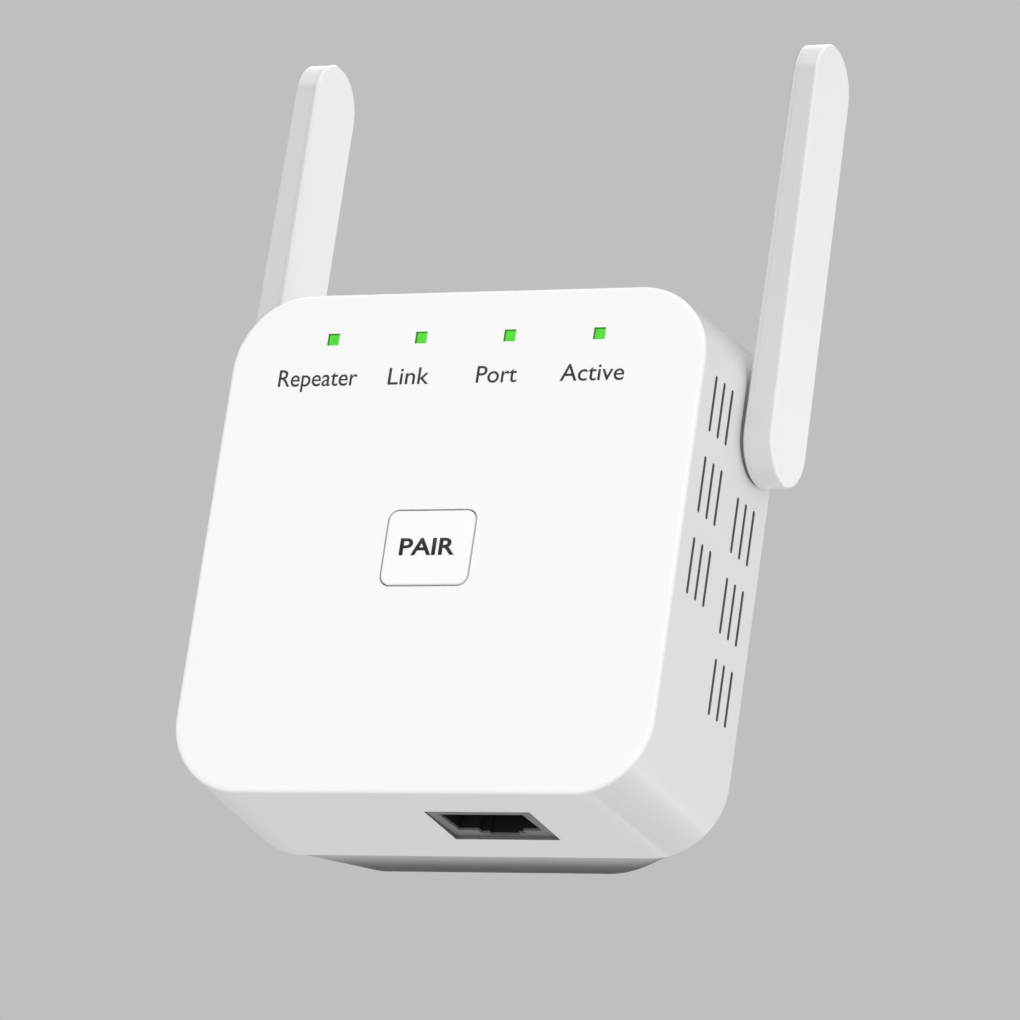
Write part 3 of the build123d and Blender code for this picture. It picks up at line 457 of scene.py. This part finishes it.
# ---------------------------------------------------------------- studio
def build_world():
    """Grey to the camera, soft and a little brighter to the object's right front, banded in reflections."""
    world = bpy.data.worlds.new("studio")
    scene.world = world
    world.use_nodes = True
    tree = world.node_tree
    tree.nodes.clear()
    add, join = tree.nodes.new, tree.links.new
    output = add("ShaderNodeOutputWorld")
    seen, felt = add("ShaderNodeBackground"), add("ShaderNodeBackground")
    seen.inputs["Color"].default_value = (BACKDROP_GREY,) * 3 + (1,)
    felt.inputs["Color"].default_value = (1, 1, 1, 1)
    mix, path = add("ShaderNodeMixShader"), add("ShaderNodeLightPath")
    join(path.outputs["Is Camera Ray"], mix.inputs["Fac"])
    join(felt.outputs[0], mix.inputs[1])
    join(seen.outputs[0], mix.inputs[2])
    join(mix.outputs[0], output.inputs["Surface"])
    coordinates = add("ShaderNodeTexCoord")
    lean, strength = add("ShaderNodeVectorMath"), add("ShaderNodeMath")
    lean.operation, strength.operation = "DOT_PRODUCT", "ADD"
    lean.inputs[1].default_value = SURROUND_LEAN
    strength.inputs[1].default_value = SURROUND
    join(coordinates.outputs["Generated"], lean.inputs[0])
    join(lean.outputs["Value"], strength.inputs[0])
    # reflections see soft boxes and dark gaps stacked by height
    height, bands = add("ShaderNodeSeparateXYZ"), add("ShaderNodeValToRGB")
    join(coordinates.outputs["Generated"], height.inputs[0])
    rise = add("ShaderNodeMapRange")
    rise.inputs["From Min"].default_value = -1.0
    join(height.outputs["Z"], rise.inputs["Value"])
    lowest, shown = add("ShaderNodeMapRange"), add("ShaderNodeMath")
    for key, value in zip(("From Min", "From Max", "To Min", "To Max"), (*LOW_BAND_FADE, LEVEL_PLACE, 0.0)):
        lowest.inputs[key].default_value = value
    join(height.outputs["X"], lowest.inputs["Value"])
    shown.operation = "MAXIMUM"
    join(rise.outputs[0], shown.inputs[0])
    join(lowest.outputs[0], shown.inputs[1])
    join(shown.outputs[0], bands.inputs["Fac"])
    stops = bands.color_ramp.elements
    while len(stops) < len(REFLECTED_BANDS):
        stops.new(0.5)
    for stop, (place, level) in zip(stops, REFLECTED_BANDS):
        stop.position, stop.color = place, (level, level, level, 1)
    glossy, pick = add("ShaderNodeMath"), add("ShaderNodeMix")
    glossy.operation = "MULTIPLY"
    glossy.inputs[1].default_value = BAND_STRENGTH
    join(bands.outputs["Color"], glossy.inputs[0])
    join(path.outputs["Is Glossy Ray"], pick.inputs["Factor"])
    join(strength.outputs[0], pick.inputs[2])
    join(glossy.outputs[0], pick.inputs[3])
    join(pick.outputs[0], felt.inputs["Strength"])


def area_light(name, location, size, power, receivers):
    """Round soft light aimed at the housing that lights only the given objects and shows in no reflection."""
    data = bpy.data.lights.new(name, "AREA")
    data.shape, data.size, data.energy = "DISK", size, power
    light = bpy.data.objects.new(name, data)
    light.location = location
    light.visible_glossy = False
    light.rotation_euler = (Vector((0, front_y, 0)) - light.location).to_track_quat("-Z", "Y").to_euler()
    scene.collection.objects.link(light)
    group = bpy.data.collections.new(name + "_receivers")
    for receiver in receivers:
        group.objects.link(receiver)
    light.light_linking.receiver_collection = group


def build_lights():
    """A key for the housing and floor, a side and fill for the antennas only, and a back light for all."""
    meshes = [thing for thing in scene.objects if thing.type == "MESH"]
    antennas = [thing for thing in meshes if thing.name.startswith("antenna")]
    others = [thing for thing in meshes if thing not in antennas]
    area_light("key", KEY_PLACE, KEY_SIZE, KEY_POWER, others)
    area_light("side", SIDE_PLACE, SIDE_SIZE, SIDE_POWER, antennas)
    area_light("fill", KEY_PLACE, KEY_SIZE, FILL_POWER, antennas)
    area_light("back", BACK_PLACE, BACK_SIZE, BACK_POWER, meshes)


def build_floor():
    """Plain pale floor below the object; it doesn't colour the light on it."""
    mesh = bpy.data.meshes.new("floor")
    corners = [(x * FLOOR_HALF, y * FLOOR_HALF, FLOOR_Z) for x, y in ((-1, -1), (1, -1), (1, 1), (-1, 1))]
    mesh.from_pydata(corners, [], [(0, 1, 2, 3)])
    floor = bpy.data.objects.new("floor", mesh)
    scene.collection.objects.link(floor)
    m = Nodes("floor_paint")
    m.set(Base_Color=m.ramp(m.noise(0.3, 3.0), (0.80, 0.80, 0.80), (0.84, 0.84, 0.84)), Roughness=0.8)
    mesh.materials.append(m.material)
    floor.visible_diffuse = floor.visible_glossy = floor.visible_shadow = False


def build_camera():
    target = Vector((0, front_y, 0))
    cos_e = math.cos(VIEW_ELEVATION)
    back = Vector((math.sin(VIEW_AZIMUTH) * cos_e, -math.cos(VIEW_AZIMUTH) * cos_e, math.sin(VIEW_ELEVATION)))
    right = Vector((0, 0, 1)).cross(back).normalized()
    up = back.cross(right)
    right = right * math.cos(VIEW_ROLL) + up * math.sin(VIEW_ROLL)
    up = back.cross(right)
    data = bpy.data.cameras.new("camera")
    data.lens, data.sensor_width, data.clip_start = CAMERA_LENS, SENSOR, 0.01
    camera = bpy.data.objects.new("camera", data)
    scene.collection.objects.link(camera)
    location = target + back * CAMERA_DISTANCE
    toward = (target + right * AIM_RIGHT + up * AIM_UP - location).normalized()
    side = toward.cross(up).normalized()
    rows = Matrix((side, side.cross(toward), -toward)).transposed()
    camera.matrix_world = Matrix.Translation(location) @ rows.to_4x4()
    scene.camera = camera


build_world()
build_floor()
build_lights()
build_camera()
scene.view_settings.view_transform = "Standard"
